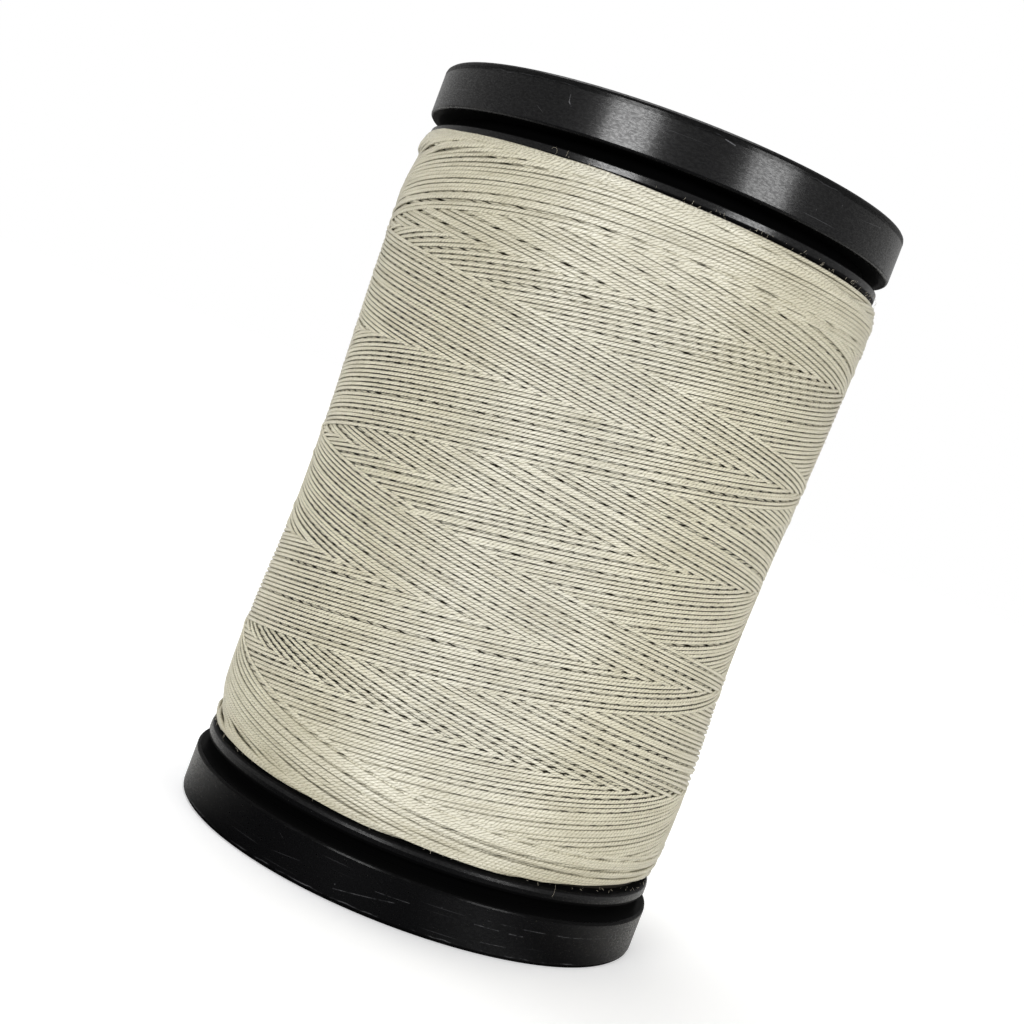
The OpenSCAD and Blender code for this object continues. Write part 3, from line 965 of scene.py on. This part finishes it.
# Lamps: azimuth and height from the spool in degrees, width and length in metres, power in watts, colour.
WHITE, WARM = (1.0, 1.0, 1.0), (1.0, 0.965, 0.88)
LAMPS = {
    "left_softbox": (-22.8, 11.0, 0.151, 0.066, 0.735, WHITE),
    "right_softbox": (42.6, 11.0, 0.150, 0.088, 0.59, WHITE),
    "top_softbox": (-140.0, 74.0, 0.30, 0.30, 1.2, WHITE),
    "left_fill": (-120.0, 15.0, 0.30, 0.30, 0.45, WARM),
    "right_fill": (125.0, 15.0, 0.30, 0.30, 0.6, WARM),
}
LAMP_DISTANCE = 0.42
LAMP_AIM = Vector((0, 0, 0.036))


class SPOOL_OT_plastic(bpy.types.Operator):
    """Gives the barrel and both snap caps their black moulded plastic"""

    bl_idname = "spool.plastic"
    bl_label = "Plastic Barrel and Caps"

    def execute(self, context):
        settings = context.scene.spool_plastic
        satin_grain_group()
        cylinder_group()
        scratches_group()
        scratch_line_group()
        edge_line_group()
        shade_group()
        dust_group()
        for node, wear_and_shade in WEAR_AND_SHADE.items():
            made = plastic_material("black plastic " + node.replace("_", " "), settings, **wear_and_shade)
            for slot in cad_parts[node].material_slots:
                slot.material = made
        return {"FINISHED"}


class SPOOL_OT_winding(bpy.types.Operator):
    """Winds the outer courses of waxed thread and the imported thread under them"""

    bl_idname = "spool.winding"
    bl_label = "Wound Thread"

    def execute(self, context):
        settings = context.scene.spool_thread
        plied_thread_group()
        made = thread_material(settings)
        turns, z = thread_path(settings)
        radius = lay_thread(turns, z, settings)
        turns, z, radius = turns[::EVERY], z[::EVERY], radius[::EVERY]
        step = np.hypot(np.diff(z), 2 * np.pi * radius[1:] * np.diff(turns))
        run = np.concatenate([[0.0], np.cumsum(step)])
        courses = 6
        cuts = np.linspace(0, len(z) - 1, courses + 1).astype(int)
        for number, (first, last) in enumerate(zip(cuts, cuts[1:]), 1):
            part = slice(first, last + 1)
            route = turns[part], z[part], radius[part], run[part] - run[first]
            piece = thread_tube(f"thread_course_{number}", settings, *route)
            piece.data.materials.append(made)
            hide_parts("thread_outer_layer")
            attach(piece, "spool")
        piece = thread_core()
        piece.data.materials.append(packed_thread_material(settings))
        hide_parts("thread_pack")
        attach(piece, "spool")
        return {"FINISHED"}


class SPOOL_OT_fibres(bpy.types.Operator):
    """Scatters stray fibres along the winding's edges and over its face"""

    bl_idname = "spool.fibres"
    bl_label = "Stray Fibres"

    def execute(self, context):
        settings = context.scene.spool_fibres
        rng = np.random.default_rng(5)
        curls = [curl(settings.thickness * 1.2, *arc) for arc in FIBRE_CURLS]
        lone_curls = [curl(settings.thickness / 2, *arc) for arc in LONE_CURLS]
        fibres = bmesh.new()
        # how many, the lowest and the highest, and how steeply most of them stand
        for count, low, high, lift in (
            (settings.upper, WINDING_Z1 - 0.1, WINDING_Z1 + 0.55, 0.75),
            (settings.lower, WINDING_Z0 + 0.15, WINDING_Z0 + 0.6, -0.6),
            (settings.face, WINDING_Z0 + 1.0, WINDING_Z1 - 0.5, 0.0),
        ):
            for _ in range(count):
                z = rng.uniform(low, high)
                steep = lift + rng.normal(0.0, 0.35)
                shape = curls[rng.integers(len(curls))]
                angle, roll = rng.uniform(-180, 180), rng.uniform(-180, 180)
                add_fibre(fibres, shape, angle, z, steep, roll, rng.uniform(0.15, 0.38))
        for number, angle, z, steep, roll, size, slot in SINGLE_FIBRES:
            first = len(fibres.faces)
            add_fibre(fibres, lone_curls[number], angle, z, steep, roll, size)
            for face in list(fibres.faces)[first:]:
                face.material_index = slot
        for shape in curls + lone_curls:
            bpy.data.meshes.remove(shape)
        piece = add_object("stray_fibres", as_mesh("stray_fibres", fibres))
        piece.data.materials.append(fibre_material("stray fibre", settings.colour))
        piece.data.materials.append(fibre_material("light fibre", settings.light_colour))
        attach(piece, "spool")
        return {"FINISHED"}


class SPOOL_OT_stage(bpy.types.Operator):
    """Sets up the floor, the room, the lamps and the camera"""

    bl_idname = "spool.stage"
    bl_label = "Floor, Light and Camera"

    def execute(self, context):
        settings = context.scene.spool_studio
        self.camera(context, settings)
        floor = bmesh.new()
        bmesh.ops.create_grid(floor, x_segments=1, y_segments=1, size=settings.floor_size / 2)
        piece = add_object("floor", as_mesh("floor", floor))
        piece.data.materials.append(floor_material(settings))
        context.scene.world = room(settings)
        for name, values in LAMPS.items():
            self.lamp(name, *values)
        context.scene.view_settings.view_transform = "Standard"
        return {"FINISHED"}

    def camera(self, context, settings):
        """A camera in front of the spool, that looks a little down and is rolled."""
        camera = add_object("camera", bpy.data.cameras.new("camera"))
        camera.data.lens = settings.lens
        camera.data.clip_start = 0.01
        aside = Matrix.Rotation(-settings.turn, 4, "Z")
        down = Matrix.Rotation(math.pi / 2 - settings.tilt, 4, "X")
        rolled = Matrix.Rotation(settings.roll, 4, "Z")
        camera.matrix_world = Matrix.Translation(settings.stand) @ aside @ down @ rolled
        context.scene.camera = camera

    def lamp(self, name, azimuth, height, width, length, power, colour):
        """A soft box that looks at the spool. The fills don't show in gloss."""
        lamp = add_object(name, bpy.data.lights.new(name, "AREA"))
        lamp.data.shape = "RECTANGLE"
        lamp.data.size, lamp.data.size_y = width, length
        lamp.data.energy, lamp.data.color = power, colour
        a, h = math.radians(azimuth), math.radians(height)
        away = Vector((math.sin(a) * math.cos(h), -math.cos(a) * math.cos(h), math.sin(h)))
        turned = away.to_track_quat("Z", "Y").to_matrix().to_4x4()
        lamp.matrix_world = Matrix.Translation(LAMP_AIM + away * LAMP_DISTANCE) @ turned
        lamp.visible_camera = False
        lamp.visible_glossy = not name.endswith("fill")


class SPOOL_PT_panel(bpy.types.Panel):
    """Lists the settings of the spool and the steps that dress it"""

    bl_idname = "SPOOL_PT_panel"
    bl_label = "Waxed Thread Spool"
    bl_space_type = "VIEW_3D"
    bl_region_type = "UI"
    bl_category = "Spool"

    def draw(self, context):
        layout = self.layout
        for group, made in GROUPS.items():
            box = layout.box()
            for name in made.__annotations__:
                box.prop(getattr(context.scene, group), name)
        for step in OPERATORS:
            layout.operator(step.bl_idname)


GROUPS = {
    "spool_plastic": SPOOL_PG_plastic,
    "spool_thread": SPOOL_PG_thread,
    "spool_fibres": SPOOL_PG_fibres,
    "spool_studio": SPOOL_PG_studio,
}
OPERATORS = (SPOOL_OT_stage, SPOOL_OT_plastic, SPOOL_OT_winding, SPOOL_OT_fibres)


def register():
    for made in (*GROUPS.values(), *OPERATORS, SPOOL_PT_panel):
        bpy.utils.register_class(made)
    for name, made in GROUPS.items():
        setattr(bpy.types.Scene, name, PointerProperty(type=made))


def unregister():
    for name in GROUPS:
        delattr(bpy.types.Scene, name)
    for made in (SPOOL_PT_panel, *reversed(OPERATORS), *reversed(GROUPS.values())):
        bpy.utils.unregister_class(made)


def main():
    register()
    bpy.ops.spool.stage()
    bpy.ops.spool.plastic()
    bpy.ops.spool.winding()
    bpy.ops.spool.fibres()


if __name__ == "__main__":
    main()
